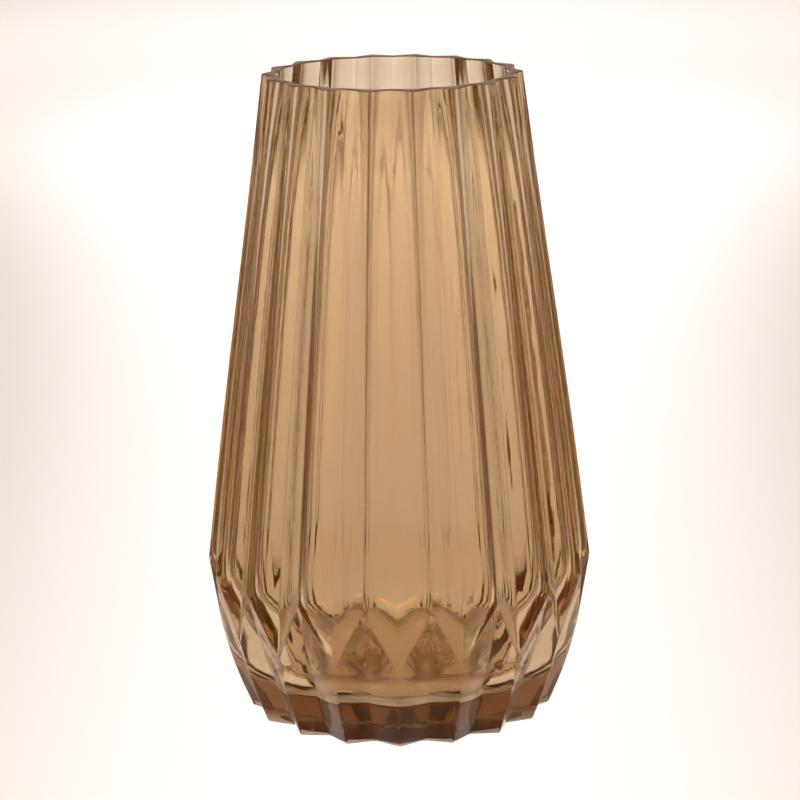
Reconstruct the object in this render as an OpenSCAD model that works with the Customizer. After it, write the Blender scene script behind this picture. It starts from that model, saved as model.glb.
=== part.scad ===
// Pleated amber glass vase.
// One continuous piece of mould-blown glass, told here as four zones that meet face to face:
// the solid base, the faceted heel, the pleated wall and the ground rim.
// Origin: centre of the footprint, on the table. +Z is up. Millimetres.

/* [Overall] */
// Height of the vase from the table to the ground rim
height = 250; // [170:1:320]
// Number of pleats round the vase
pleat_count = 18; // [12:1:24]

/* [Rim] */
// Radius over the pleat ridges at the rim
rim_r = 49.8; // [42:0.1:62]
// Depth of the pleats at the rim
rim_pleat_depth = 4.3; // [2:0.1:5.5]
// Glass between a pleat valley and the mouth
rim_wall = 2; // [1.5:0.1:4]
// Height of the zone that is ground at the rim
rim_band = 2.5; // [1.5:0.1:6]
// Width of the eased edge on both sides of the ground rim
rim_ease = 0.5; // [0.2:0.1:0.7]

/* [Shoulder] */
// Height of the shoulder, where the pleats end in a zigzag
shoulder_z = 58.5; // [46:0.5:90]
// Radius over the pleat ridges at the shoulder, the widest place
shoulder_r = 75.4; // [64:0.1:92]
// Depth of the pleats at the shoulder
shoulder_pleat_depth = 6.4; // [3:0.1:8]
// Glass between a pleat valley and the hollow at the shoulder
shoulder_wall = 3.5; // [2:0.1:6]
// Height over which the inside turns the shoulder in one soft curve
shoulder_turn = 20; // [8:1:22]

/* [Heel] */
// Height of the points where the shoulder triangles end
point_z = 34.4; // [26:0.1:40]
// How far the points stand in from the shoulder ridges
point_step = 4.4; // [2:0.1:8]
// How far the heel swells out past a straight line
heel_swell = 1; // [0:0.1:2]
// Glass between a heel groove and the hollow
heel_wall = 4.5; // [3:0.1:8]

/* [Base] */
// Radius over the tips of the star-shaped foot
foot_r = 59.5; // [50:0.1:72]
// Depth of the notches between the tips of the foot
foot_notch_depth = 5.9; // [3:0.1:8]
// Thickness of the glass under the hollow
floor_t = 16; // [8:0.5:22]
// Radius of the inside corner between floor and wall
floor_corner_r = 14; // [6:0.5:16]
// Radius of the shallow dish ground under the base
dish_r = 42; // [20:1:44]
// Depth of the dish
dish_depth = 1.5; // [0.5:0.1:3]

/* [Wall line] */
// How far the lower wall bows out past a straight line
wall_bow = 0.25; // [0:0.05:1]
// How much fuller the lower half of the wall is than the upper half
wall_fullness = 0.2; // [0:0.05:1]

/* [Hidden] */
$fn = 144;
GLASS = [0.80, 0.63, 0.43, 0.75];
BASE_GLASS = [0.55, 0.41, 0.24, 0.85];
GROUND_GLASS = [0.62, 0.54, 0.50];
eps = 0.01;
base_rings = 3;
heel_rings = 4;
wall_rings = 8;
turn_steps = 10;
lines = 2 * pleat_count;
line_step = 360 / lines;
band_z = height - rim_band;

function lerp(a, b, t) = a + (b - a) * t;
function share(z, low, high) = (z - low) / (high - low);
function heights(low, high, n) = [for (i = [0 : n]) lerp(low, high, i / n)];
function bend(p, q, r, t) = lerp(lerp(p, q, t), lerp(q, r, t), t);

// The wall, above the shoulder: ridges and valleys run up to the rim side by side.
function wall_swell(t) = wall_bow * sin(180 * t) + wall_fullness * sin(360 * t);
function ridge_r(z) = let (t = share(z, shoulder_z, height))
    lerp(shoulder_r, rim_r, t) + wall_swell(t);
function valley_r(z) = let (t = share(z, shoulder_z, height))
    ridge_r(z) - lerp(shoulder_pleat_depth, rim_pleat_depth, t);

// The heel, below the shoulder: a tip stands under each valley and a notch under each ridge.
function tip_r(z) = let (t = share(z, 0, point_z))
    lerp(foot_r, shoulder_r - point_step, t) + heel_swell * sin(180 * t);
function notch_r(z) = let (t = share(z, 0, shoulder_z))
    lerp(foot_r - foot_notch_depth, shoulder_r, t) + heel_swell * sin(180 * t);

// A ring is [height, radius on the notch and ridge lines, radius on the tip and valley lines].
function heel_ring(z) = [z, notch_r(z), tip_r(z)];
function wall_ring(z) = [z, ridge_r(z), valley_r(z)];
function eased_ring(z, ease) = [z, ridge_r(z) - ease, valley_r(z) - ease];

// Inside of the vase, as a half profile from the floor to the mouth.
mouth_r = valley_r(height) - rim_wall;
corner_top = floor_t + floor_corner_r;
heel_in_r = notch_r(corner_top) - heel_wall;
turn_low = shoulder_z - shoulder_turn / 2;
turn_high = shoulder_z + shoulder_turn / 2;
shoulder_in_r = valley_r(shoulder_z) - shoulder_wall;
function inside_below(z) = lerp(heel_in_r, shoulder_in_r, share(z, corner_top, shoulder_z));
function inside_above(z) = lerp(shoulder_in_r, mouth_r, share(z, shoulder_z, height));
inside_profile = concat(
    [[0, floor_t]],
    [for (i = [0 : turn_steps]) let (a = 90 * i / turn_steps) [
        heel_in_r - floor_corner_r + floor_corner_r * sin(a),
        corner_top - floor_corner_r * cos(a)
    ]],
    [for (i = [0 : turn_steps]) bend(
        [inside_below(turn_low), turn_low],
        [shoulder_in_r, shoulder_z],
        [inside_above(turn_high), turn_high],
        i / turn_steps
    )],
    [
        [inside_above(height - rim_ease), height - rim_ease],
        [mouth_r + rim_ease, height],
        [mouth_r + rim_ease, height + eps],
        [0, height + eps]
    ]
);

// A closed solid through a stack of rings. The side faces are split along the line that
// joins a ridge foot to a point, so that the shoulder triangles stay flat.
module pleated_solid(rings) {
    last = len(rings) - 1;
    points = concat(
        [for (r = rings, i = [0 : lines - 1]) let (radius = r[1 + i % 2])
            [radius * cos(i * line_step), radius * sin(i * line_step), r[0]]],
        [[0, 0, rings[0][0]], [0, 0, rings[last][0]]]
    );
    bottom = len(points) - 2;
    top = len(points) - 1;
    sides = [for (k = [0 : last - 1], i = [0 : lines - 1])
        let (
            n = (i + 1) % lines,
            a = k * lines + i,
            b = k * lines + n,
            c = b + lines,
            d = a + lines
        )
        each (i % 2 == 0 ? [[a, d, b], [b, d, c]] : [[a, d, c], [a, c, b]])];
    caps = [for (i = [0 : lines - 1])
        let (n = (i + 1) % lines)
        each [[bottom, i, n], [top, last * lines + n, last * lines + i]]];
    polyhedron(points = points, faces = concat(sides, caps), convexity = 6);
}

module hollow() {
    rotate_extrude() polygon(inside_profile);
}

// Shallow dish under the base, cut by a large ball that leaves a flat star to stand on.
module dish() {
    ball_r = (dish_r * dish_r + dish_depth * dish_depth) / (2 * dish_depth);
    translate([0, 0, dish_depth - ball_r]) sphere(r = ball_r);
}

// Thick clear glass under the hollow, with the star-shaped foot.
module solid_base() {
    color(BASE_GLASS)
        difference() {
            pleated_solid([for (z = heights(0, floor_t, base_rings)) heel_ring(z)]);
            dish();
        }
}

// Ring of mountain facets, with the triangles that climb to the shoulder.
module faceted_heel() {
    rings = concat(
        [for (z = heights(floor_t, point_z, heel_rings)) heel_ring(z)],
        [wall_ring(shoulder_z)]
    );
    color(GLASS)
        difference() {
            pleated_solid(rings);
            hollow();
        }
}

// The tall pleated wall between the shoulder and the ground rim.
module pleated_wall() {
    color(GLASS)
        difference() {
            pleated_solid([for (z = heights(shoulder_z, band_z, wall_rings)) wall_ring(z)]);
            hollow();
        }
}

// The lip, ground flat on top and eased at both edges.
module ground_rim() {
    rings = [
        wall_ring(band_z),
        wall_ring(height - rim_ease),
        eased_ring(height, rim_ease)
    ];
    color(GROUND_GLASS)
        difference() {
            pleated_solid(rings);
            hollow();
        }
}

solid_base();
faceted_heel();
pleated_wall();
ground_rim();
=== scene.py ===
import math

import bmesh
import bpy
from mathutils import Matrix, Vector


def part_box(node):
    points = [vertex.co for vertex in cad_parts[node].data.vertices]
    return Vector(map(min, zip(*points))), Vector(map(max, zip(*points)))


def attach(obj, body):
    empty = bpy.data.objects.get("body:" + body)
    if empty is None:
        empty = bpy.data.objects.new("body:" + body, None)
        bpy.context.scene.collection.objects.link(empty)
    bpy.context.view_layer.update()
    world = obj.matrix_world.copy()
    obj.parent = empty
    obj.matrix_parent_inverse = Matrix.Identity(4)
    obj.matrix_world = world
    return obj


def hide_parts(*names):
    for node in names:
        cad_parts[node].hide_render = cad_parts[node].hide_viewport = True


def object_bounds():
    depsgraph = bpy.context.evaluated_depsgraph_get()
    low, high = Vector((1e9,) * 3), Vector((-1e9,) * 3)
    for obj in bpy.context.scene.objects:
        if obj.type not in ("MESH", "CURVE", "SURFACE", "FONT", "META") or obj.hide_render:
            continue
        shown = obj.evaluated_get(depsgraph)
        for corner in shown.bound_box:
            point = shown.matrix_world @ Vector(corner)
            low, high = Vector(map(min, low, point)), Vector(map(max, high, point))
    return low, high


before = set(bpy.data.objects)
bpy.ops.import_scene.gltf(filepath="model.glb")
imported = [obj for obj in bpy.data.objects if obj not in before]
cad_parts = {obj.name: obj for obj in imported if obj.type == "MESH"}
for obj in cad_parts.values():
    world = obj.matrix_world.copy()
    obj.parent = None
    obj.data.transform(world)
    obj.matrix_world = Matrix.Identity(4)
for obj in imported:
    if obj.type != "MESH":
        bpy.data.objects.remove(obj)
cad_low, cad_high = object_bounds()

# An amber glass vase, blown into a pleated iron mould. One closed body of glass stands for the four
# CAD zones: solid base, faceted heel, pleated wall and ground rim. Metres, +Z up, and the origin is
# the middle of the foot on the floor.

MM = 0.001

# Heights of the zones, from the frame
HEIGHT = cad_high.z
SHOULDER_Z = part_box("faceted_heel")[1].z
FLOOR_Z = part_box("solid_base")[1].z

# The pleats: a ridge lies on +X, and a valley half a pleat away from it
PLEATS = 18
PLEAT = 2 * math.pi / PLEATS
HALF = PLEAT / 2
# Height of the points where the triangles of the heel end, and how far the heel swells
POINT_Z = 34.4 * MM
HEEL_SWELL = 1.0 * MM
# How far the wall bows out, and how much fuller its lower half is
WALL_BOW = 0.25 * MM
WALL_FULLNESS = 0.2 * MM
# Radius left on the fire-polished edges, and on the ground lip
EDGE_ROUND = 0.6 * MM
LIP_ROUND = 0.5 * MM
# Least turn between two faces that counts as an edge to polish
SHARP = math.radians(6)

# The hollow: glass behind a valley at the mouth and at the shoulder, radius at the foot of the wall,
# and radius of the corner between the wall and the floor
MOUTH_WALL = 2.0 * MM
SHOULDER_WALL = 3.5 * MM
HEEL_IN_R = 61.3 * MM
CORNER_R = 14 * MM
CORNER_TOP = FLOOR_Z + CORNER_R
# The hollow runs out behind each ridge by a share of the pleats' depth, which drops over the last
# stretch below the rim and fades to nothing in the heel
WALL_FOLLOW = 0.7
RIM_FOLLOW = 0.3
RIM_FADE = 70 * MM
HEEL_FADE_LOW = SHOULDER_Z - 24 * MM
HEEL_FADE_HIGH = SHOULDER_Z + 4 * MM
# The hollow is widest level with the shoulder behind the ridges, and lower behind the valleys. It
# turns from the heel into the wall softly, where the two are within the blend of each other
SHOULDER_SAG = 12 * MM
SHOULDER_BLEND = 1.5 * MM

# The dish under the base
DISH_R = 42 * MM
DISH_DEPTH = 1.5 * MM

# How finely the mesh is divided: columns across half a pleat, rows up the outside and the hollow,
# rings on the floor as shares of its radius, and steps round the corner, the dish and the edges
COLUMNS = 9
HEEL_ROWS = 8
WALL_ROWS = 24
HOLLOW_WALL_ROWS = 48
HOLLOW_HEEL_ROWS = 24
FLOOR_RINGS = (0.75, 0.5, 0.25, 0.1)
CORNER_ROWS = 10
DISH_ROWS = 8
EDGE_STEPS = 3
LIP_STEPS = 2
# Only the two end caps have more sides than this
CAP_SIDES = 20
# Corners nearer than this are one corner
WELD = 0.005 * MM
# How near a corner of the CAD lies to a line, in radians, and to a height, to be counted on it
ON_LINE = 0.01
AT_HEIGHT = 0.1 * MM


# ---- Small helpers ----

def srgb(code):
    """The linear colour of an sRGB hex code."""
    parts = [int(code[i:i + 2], 16) / 255 for i in (1, 3, 5)]
    return (*[p / 12.92 if p <= 0.04045 else ((p + 0.055) / 1.055) ** 2.4 for p in parts], 1.0)


def lerp(a, b, t):
    """The value a share t of the way from a to b."""
    return a + (b - a) * t


def share(z, low, high):
    """How far z is on the way from low to high, from 0 to 1."""
    return min(max((z - low) / (high - low), 0), 1)


def ease(z, low, high):
    """The share of the way from low to high, with a slow start and a slow end."""
    t = share(z, low, high)
    return t * t * (3 - 2 * t)


def soft_min(a, b, blend):
    """The smaller of two sizes, with a soft turn where they cross."""
    near = max(blend - abs(a - b), 0) / blend
    return min(a, b) - near * near * blend / 4


def steps(n):
    """Shares from 0 to 1 in n equal steps."""
    return [i / n for i in range(n + 1)]


def polar(radius, angle, z):
    return Vector((radius * math.cos(angle), radius * math.sin(angle), z))


def all_of(bm):
    return bm.verts[:] + bm.edges[:] + bm.faces[:]


def weld(bm):
    bmesh.ops.remove_doubles(bm, verts=bm.verts, dist=WELD)


def bevel(bm, edges, offset, segments):
    bmesh.ops.bevel(bm, geom=edges, offset=offset, offset_type="OFFSET", affect="EDGES",
                    segments=segments, profile=0.5, material=-1, clamp_overlap=True)


def node(tree, kind, inputs=None, **settings):
    """Adds a shader node. Inputs are values, or sockets to link from, and settings are its options."""
    made = tree.nodes.new(kind)
    for key, value in settings.items():
        setattr(made, key, value)
    for key, value in (inputs or {}).items():
        if isinstance(value, bpy.types.NodeSocket):
            tree.links.new(value, made.inputs[key])
        else:
            made.inputs[key].default_value = value
    return made


def blank(name):
    """A material with an empty node tree."""
    made = bpy.data.materials.new(name)
    made.use_nodes = True
    made.node_tree.nodes.clear()
    return made, made.node_tree


def piece(name, bm, *materials):
    """Turns a finished bmesh into an object at the origin."""
    mesh = bpy.data.meshes.new(name)
    bm.to_mesh(mesh)
    bm.free()
    for material in materials:
        mesh.materials.append(material)
    made = bpy.data.objects.new(name, mesh)
    bpy.context.scene.collection.objects.link(made)
    return made


# ---- Sizes of the outside, from the corners of the CAD zones ----

def reach(zone, z, angle):
    """The largest radius of a CAD zone's corners at a height, on the line at an angle."""
    found = 0.0
    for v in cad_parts[zone].data.vertices:
        on_line = abs(math.atan2(v.co.y, v.co.x) - angle) < ON_LINE
        if on_line and abs(v.co.z - z) < AT_HEIGHT:
            found = max(found, v.co.xy.length)
    return found


RIM_R = reach("ground_rim", HEIGHT - LIP_ROUND, 0)
RIM_VALLEY_R = reach("ground_rim", HEIGHT - LIP_ROUND, HALF)
SHOULDER_R = reach("faceted_heel", SHOULDER_Z, 0)
SHOULDER_VALLEY_R = reach("faceted_heel", SHOULDER_Z, HALF)
POINT_R = reach("faceted_heel", POINT_Z, HALF)
FOOT_R = reach("solid_base", 0, HALF)
NOTCH_R = reach("solid_base", 0, 0)


def heel_swell(t):
    return HEEL_SWELL * math.sin(math.pi * t)


def wall_swell(t):
    return WALL_BOW * math.sin(math.pi * t) + WALL_FULLNESS * math.sin(2 * math.pi * t)


def up_wall(z):
    """How far z is up the wall. It goes below 0 in the heel."""
    return (z - SHOULDER_Z) / (HEIGHT - SHOULDER_Z)


def ridge_r(z):
    return lerp(SHOULDER_R, RIM_R, up_wall(z)) + wall_swell(up_wall(z))


def valley_r(z):
    return lerp(SHOULDER_VALLEY_R, RIM_VALLEY_R, up_wall(z)) + wall_swell(up_wall(z))


# ---- The outside of the vase ----

def outside_line(across):
    """Points up the outside from foot to rim, at a share of the way from a ridge to a valley."""
    notch = [polar(lerp(NOTCH_R, SHOULDER_R, t) + heel_swell(t), 0, SHOULDER_Z * t) for t in steps(HEEL_ROWS)]
    tip = [polar(lerp(FOOT_R, POINT_R, t) + heel_swell(t), HALF, POINT_Z * t) for t in steps(HEEL_ROWS)]
    heights = [lerp(SHOULDER_Z, HEIGHT, t) for t in steps(WALL_ROWS)]
    ridge = [polar(ridge_r(z), 0, z) for z in heights]
    valley = [polar(valley_r(z), HALF, z) for z in heights]
    return [p.lerp(q, across) for p, q in zip(notch + ridge, tip + valley)]


def chain(bm, points):
    """A line of edges through points."""
    verts = [bm.verts.new(p) for p in points]
    return [bm.edges.new(pair) for pair in zip(verts, verts[1:])]


def outside():
    """Half a pleat, mirrored and turned round the axis, with its edges fire-polished round."""
    bm = bmesh.new()
    lines = [chain(bm, outside_line(across)) for across in steps(COLUMNS)]
    for one, other in zip(lines, lines[1:]):
        bmesh.ops.bridge_loops(bm, edges=one + other)
    weld(bm)
    bmesh.ops.mirror(bm, geom=all_of(bm), axis="Y", merge_dist=WELD)
    bmesh.ops.spin(bm, geom=all_of(bm), axis=(0, 0, 1), cent=(0, 0, 0),
                   angle=2 * math.pi - PLEAT, steps=PLEATS - 1, use_duplicate=True)
    weld(bm)
    bmesh.ops.recalc_face_normals(bm, faces=bm.faces)
    sharp = [e for e in bm.edges if len(e.link_faces) == 2 and e.calc_face_angle() > SHARP]
    bevel(bm, sharp, EDGE_ROUND, EDGE_STEPS)
    ends = [e for e in bm.edges if e.is_boundary]
    for at_rim in (True, False):
        loop = [e for e in ends if (e.verts[0].co.z > SHOULDER_Z) == at_rim]
        bmesh.ops.edgeloop_fill(bm, edges=loop)
    bevel(bm, [e for f in bm.faces if len(f.verts) > CAP_SIDES for e in f.edges], LIP_ROUND, LIP_STEPS)
    caps = [f for f in bm.faces if len(f.verts) > CAP_SIDES]
    bmesh.ops.delete(bm, geom=caps, context="FACES_ONLY")
    return bm


# ---- The hollow and the dish, extruded ring by ring from the open ends ----

def from_ridge(angle):
    """The angle to the nearest ridge, from 0 there to HALF in a valley."""
    return abs((angle + HALF) % PLEAT - HALF)


def hollow_base_r(z, wave):
    """Radius of the hollow without its waves: it opens up the heel and closes in up the wall."""
    widest_z = SHOULDER_Z - SHOULDER_SAG * (1 - wave)
    shoulder = SHOULDER_VALLEY_R - SHOULDER_WALL
    heel = lerp(HEEL_IN_R, shoulder, (z - CORNER_TOP) / (widest_z - CORNER_TOP))
    wall = valley_r(z) - lerp(SHOULDER_WALL, MOUTH_WALL, up_wall(z))
    return soft_min(heel, wall, SHOULDER_BLEND)


def follow(z):
    """How far the hollow runs out behind the ridges at a height, as a share of the pleats' depth."""
    from_heel = ease(z, HEEL_FADE_LOW, HEEL_FADE_HIGH)
    return from_heel * lerp(WALL_FOLLOW, RIM_FOLLOW, share(z, HEIGHT - RIM_FADE, HEIGHT) ** 2)


def hollow_r(z, angle):
    """Radius of the hollow: soft waves that follow the pleats."""
    depth = ridge_r(z) - valley_r(z)
    wave = 0.5 + 0.5 * math.cos(PLEATS * from_ridge(angle))
    return hollow_base_r(z, wave) + depth * follow(z) * wave


def round_ring(radius, z):
    return lambda angle: polar(radius, angle, z)


def wall_ring(z):
    return lambda angle: polar(hollow_r(z, angle), angle, z)


def lip_ring(turn):
    """A step of the eased inner edge, which turns from the flat of the rim into the hollow."""
    out = LIP_ROUND * (1 - math.sin(turn))
    z = HEIGHT - LIP_ROUND * (1 - math.cos(turn))
    return lambda angle: polar(hollow_r(z, angle) + out, angle, z)


def hollow_rings():
    """From the rim down the wall and round the corner to the middle of the floor."""
    lip = [lip_ring(math.pi / 2 * t) for t in steps(LIP_STEPS)]
    wall = [wall_ring(lerp(HEIGHT - LIP_ROUND, SHOULDER_Z, t)) for t in steps(HOLLOW_WALL_ROWS)[1:]]
    heel = [wall_ring(lerp(SHOULDER_Z, CORNER_TOP, t)) for t in steps(HOLLOW_HEEL_ROWS)[1:-1]]
    flat_r = HEEL_IN_R - CORNER_R
    corner = [round_ring(flat_r + CORNER_R * math.cos(a), CORNER_TOP - CORNER_R * math.sin(a))
              for a in [math.pi / 2 * t for t in steps(CORNER_ROWS)]]
    floor_flat = [round_ring(flat_r * t, FLOOR_Z) for t in FLOOR_RINGS]
    return lip + wall + heel + corner + floor_flat


def dish_rings():
    """From the edge of the dish to its middle, on the ball that cut it."""
    ball = (DISH_R ** 2 + DISH_DEPTH ** 2) / (2 * DISH_DEPTH)
    far = math.asin(DISH_R / ball)
    return [round_ring(ball * math.sin(far * t), DISH_DEPTH - ball + ball * math.cos(far * t))
            for t in steps(DISH_ROWS)[:0:-1]]


def carry(bm, edges, rings):
    """Extrudes a loop through rings and closes it on the axis. A ring is a function of the angle."""
    for ring in rings:
        made = bmesh.ops.extrude_edge_only(bm, edges=edges)["geom"]
        edges = [g for g in made if isinstance(g, bmesh.types.BMEdge)]
        verts = [g for g in made if isinstance(g, bmesh.types.BMVert)]
        for v in verts:
            v.co = ring(math.atan2(v.co.y, v.co.x))
    bmesh.ops.pointmerge(bm, verts=verts, merge_co=Vector((0, 0, verts[0].co.z)))


def vase():
    """The whole glass. The faces of the rim take the second material."""
    bm = outside()
    for z, rings in ((HEIGHT, hollow_rings()), (0, dish_rings())):
        end = [e for e in bm.edges if e.is_boundary and abs(e.verts[0].co.z - z) < WELD]
        carry(bm, end, rings)
    bmesh.ops.recalc_face_normals(bm, faces=bm.faces)
    for f in bm.faces:
        f.smooth = True
        f.material_index = int(f.calc_center_median().z > HEIGHT - LIP_ROUND)
    return bm


# ---- Materials ----

# Amber that the skin lets through, and what the body of the glass leaves of each colour
AMBER = srgb("#ddccb3")
BODY_LEAVES = (0.61, 0.37, 0.0, 1.0)
BODY_DENSITY = 40.0
# Weak reflections off the amber skin come back warm
WARM_GLINT = srgb("#d59a68")
GLASS_IOR = 1.5
# Slow ripples of the blown wall, drawn out upwards
RIPPLE_ACROSS = 5 * MM
RIPPLE_ALONG = 70 * MM
RIPPLE_DEPTH = 0.12 * MM
# Where the ripples stand highest the polish is a touch less than perfect
DULL_FROM = 0.5
DULL_TO = 0.8
DULLEST = 0.02
# Orange peel from the cold mould, drawn coarser than the real skin so that it shows
PEEL = 1.2 * MM
PEEL_DEPTH = 0.006 * MM
# The ground rim: its grey-brown, how much light still goes through it, and how rough it is
GROUND = srgb("#6e5443")
GROUND_CLEAR = 0.3
GROUND_SMOOTHEST = 0.3
GROUND_ROUGHEST = 0.55
# Grit marks of the grinding wheel, drawn coarser than the real grit
GRIT = 0.5 * MM
GRIT_DEPTH = 0.03 * MM
# Octaves of fine detail in the ripples, the peel and the grit
NOISE_DETAIL = 2.0
# The painted board
BOARD_WHITE = srgb("#f3f3f3")
BOARD_ROUGH = 0.9


def body_of_glass(tree):
    """What the glass takes out of the light on its way through."""
    return node(tree, "ShaderNodeVolumeAbsorption", {"Color": BODY_LEAVES, "Density": BODY_DENSITY})


def skin_noise(tree, across, along):
    """A soft noise fixed to the piece, of one size across the wall and another up it."""
    place = node(tree, "ShaderNodeTexCoord")
    sized = node(tree, "ShaderNodeMapping", {
        "Vector": place.outputs["Object"],
        "Scale": (1 / across, 1 / across, 1 / along),
    })
    return node(tree, "ShaderNodeTexNoise", {
        "Vector": sized.outputs["Vector"],
        "Scale": 1.0,
        "Detail": NOISE_DETAIL,
    })


def mould_blown_glass():
    """Soda-lime glass, amber all through, blown into a cold iron mould and fire-polished: clear and
    shiny, with slow ripples that run up the wall and a faint orange peel where it touched the iron."""
    material, tree = blank("Amber_glass_mould_blown")
    ripple = skin_noise(tree, RIPPLE_ACROSS, RIPPLE_ALONG)
    peel = skin_noise(tree, PEEL, PEEL)
    ripples = node(tree, "ShaderNodeBump", {"Height": ripple.outputs["Fac"], "Distance": RIPPLE_DEPTH})
    skin = node(tree, "ShaderNodeBump", {
        "Height": peel.outputs["Fac"],
        "Distance": PEEL_DEPTH,
        "Normal": ripples.outputs["Normal"],
    })
    dulled = node(tree, "ShaderNodeMapRange", {
        "Value": ripple.outputs["Fac"],
        "From Min": DULL_FROM,
        "From Max": DULL_TO,
        "To Min": 0.0,
        "To Max": DULLEST,
    })
    glass = node(tree, "ShaderNodeBsdfPrincipled", {
        "Base Color": AMBER,
        "Roughness": dulled.outputs["Result"],
        "Specular Tint": WARM_GLINT,
        "IOR": GLASS_IOR,
        "Transmission Weight": 1.0,
        "Normal": skin.outputs["Normal"],
    })
    node(tree, "ShaderNodeOutputMaterial", {
        "Surface": glass.outputs["BSDF"],
        "Volume": body_of_glass(tree).outputs["Volume"],
    })
    return material


def wheel_ground_glass():
    """The same glass where the rim was cut flat and ground on a wheel: a grey-brown satin."""
    material, tree = blank("Amber_glass_wheel_ground")
    grit = skin_noise(tree, GRIT, GRIT)
    marks = node(tree, "ShaderNodeBump", {"Height": grit.outputs["Fac"], "Distance": GRIT_DEPTH})
    satin = node(tree, "ShaderNodeMapRange", {
        "Value": grit.outputs["Fac"],
        "To Min": GROUND_SMOOTHEST,
        "To Max": GROUND_ROUGHEST,
    })
    glass = node(tree, "ShaderNodeBsdfPrincipled", {
        "Base Color": GROUND,
        "Roughness": satin.outputs["Result"],
        "IOR": GLASS_IOR,
        "Transmission Weight": GROUND_CLEAR,
        "Normal": marks.outputs["Normal"],
    })
    node(tree, "ShaderNodeOutputMaterial", {
        "Surface": glass.outputs["BSDF"],
        "Volume": body_of_glass(tree).outputs["Volume"],
    })
    return material


def matt_board():
    """Painted board under the vase: pale and matt, with no gloss of its own."""
    material, tree = blank("Pale_painted_board")
    paint = node(tree, "ShaderNodeBsdfPrincipled", {"Base Color": BOARD_WHITE, "Roughness": BOARD_ROUGH})
    node(tree, "ShaderNodeOutputMaterial", {"Surface": paint.outputs["BSDF"]})
    return material


# ---- The vase ----

glass_body = piece("pleated_vase", vase(), mould_blown_glass(), wheel_ground_glass())
facets = glass_body.modifiers.new("Flat facets", "WEIGHTED_NORMAL")
facets.keep_sharp = False
# Light from the lamps and off the board passes the clear glass, so the vase leaves no shadow
glass_body.visible_shadow = False
glass_body.visible_diffuse = False
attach(glass_body, "root")
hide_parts("solid_base", "faceted_heel", "pleated_wall", "ground_rim")

# ---- Floor, camera and light ----

# Half the side of the square board
FLOOR_HALF = 5.5
board = bmesh.new()
bmesh.ops.create_grid(board, x_segments=1, y_segments=1, size=FLOOR_HALF)
piece("floor", board, matt_board())

# A long lens stands in front of the vase, above it, and looks a little down
LENS = 138.35
SENSOR = 36.0
AWAY = 1.16234
UP = 0.41649
ASIDE = 0.00121
HEADING = 0.012
LOOK_DOWN = 0.2487
ROLL = math.radians(-0.81)
camera_data = bpy.data.cameras.new("camera")
camera_data.lens = LENS
camera_data.sensor_width = SENSOR
camera = bpy.data.objects.new("camera", camera_data)
bpy.context.scene.collection.objects.link(camera)
camera.matrix_world = (
    Matrix.Rotation(HEADING, 4, "Z")
    @ Matrix.Translation((ASIDE, -AWAY, UP))
    @ Matrix.Rotation(math.pi / 2 - LOOK_DOWN, 4, "X")
    @ Matrix.Rotation(ROLL, 4, "Z")
)
bpy.context.scene.camera = camera

# The room: bright and white round the horizon, and dim and warm overhead
HORIZON = srgb("#fffaf4")
CEILING = srgb("#84603f")
ROOM_STRENGTH = 0.9
# Sine of the angle over the horizon where the room starts to dim, and where it is dimmest
BRIGHT_BELOW = 0.16
DIM_ABOVE = 0.36


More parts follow.
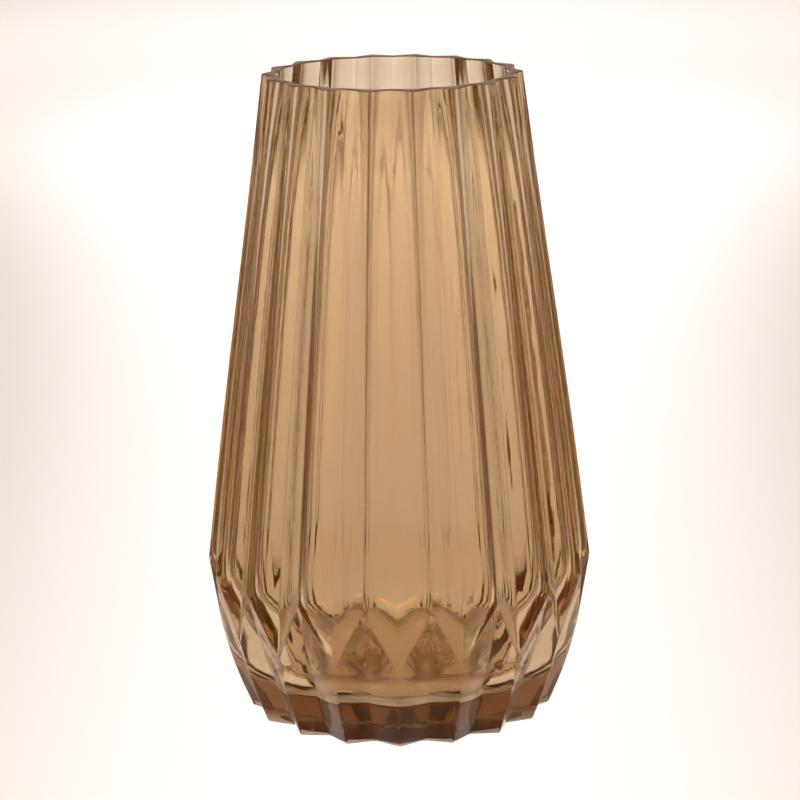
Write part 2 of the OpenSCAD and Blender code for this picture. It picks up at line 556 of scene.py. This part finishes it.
def room():
    """The world round the board, blended by height from the horizon to the ceiling."""
    made = bpy.data.worlds.new("studio")
    made.use_nodes = True
    tree = made.node_tree
    tree.nodes.clear()
    way = node(tree, "ShaderNodeTexCoord")
    split = node(tree, "ShaderNodeSeparateXYZ", {"Vector": way.outputs["Generated"]})
    height = node(tree, "ShaderNodeMapRange", {
        "Value": split.outputs["Z"],
        "From Min": BRIGHT_BELOW,
        "From Max": DIM_ABOVE,
    })
    walls = node(tree, "ShaderNodeBackground", {"Color": HORIZON, "Strength": ROOM_STRENGTH})
    ceiling = node(tree, "ShaderNodeBackground", {"Color": CEILING, "Strength": ROOM_STRENGTH})
    both = node(tree, "ShaderNodeMixShader", {
        "Fac": height.outputs["Result"],
        1: walls.outputs["Background"],
        2: ceiling.outputs["Background"],
    })
    node(tree, "ShaderNodeOutputWorld", {"Surface": both.outputs["Shader"]})
    return made


def softbox(name, place, size, watts, spread):
    """A soft light that hangs level over the floor, with a grid that keeps its beam narrow."""
    data = bpy.data.lights.new(name, "AREA")
    data.shape = "RECTANGLE"
    data.size, data.size_y = size
    data.energy = watts
    data.spread = math.radians(spread)
    lamp = bpy.data.objects.new(name, data)
    lamp.location = place
    bpy.context.scene.collection.objects.link(lamp)


bpy.context.scene.world = room()
# A long narrow softbox leaves the floor dim on both sides, which draws dark lines down the ridges
softbox("softbox_over_vase", place=(0, 0.35, 0.8), size=(0.4, 2.3), watts=3.9, spread=55)
softbox("softbox_over_backdrop", place=(0, 2.0, 1.3), size=(1.4, 1.6), watts=10, spread=100)
# Wide softboxes keep the far parts of the board pale
SIDE_SIZE = (3.2, 8.0)
SIDE_WATTS = 54
END_SIZE = (3.6, 3.2)
END_WATTS = 24
FAR_SPREAD = 70
softbox("softbox_far_left", place=(-3.8, 0.5, 1.2), size=SIDE_SIZE, watts=SIDE_WATTS, spread=FAR_SPREAD)
softbox("softbox_far_right", place=(3.8, 0.5, 1.2), size=SIDE_SIZE, watts=SIDE_WATTS, spread=FAR_SPREAD)
softbox("softbox_far_front", place=(0, -3.6, 1.2), size=END_SIZE, watts=END_WATTS, spread=FAR_SPREAD)
softbox("softbox_far_back", place=(0, 5.0, 1.2), size=END_SIZE, watts=END_WATTS, spread=FAR_SPREAD)
bpy.context.scene.view_settings.view_transform = "Standard"
# Light turns many times inside the facets before it leaves them
BOUNCES = 48
GLINT_BOUNCES = 24
cycles = bpy.context.scene.cycles
cycles.max_bounces = BOUNCES
cycles.transmission_bounces = BOUNCES
cycles.glossy_bounces = GLINT_BOUNCES
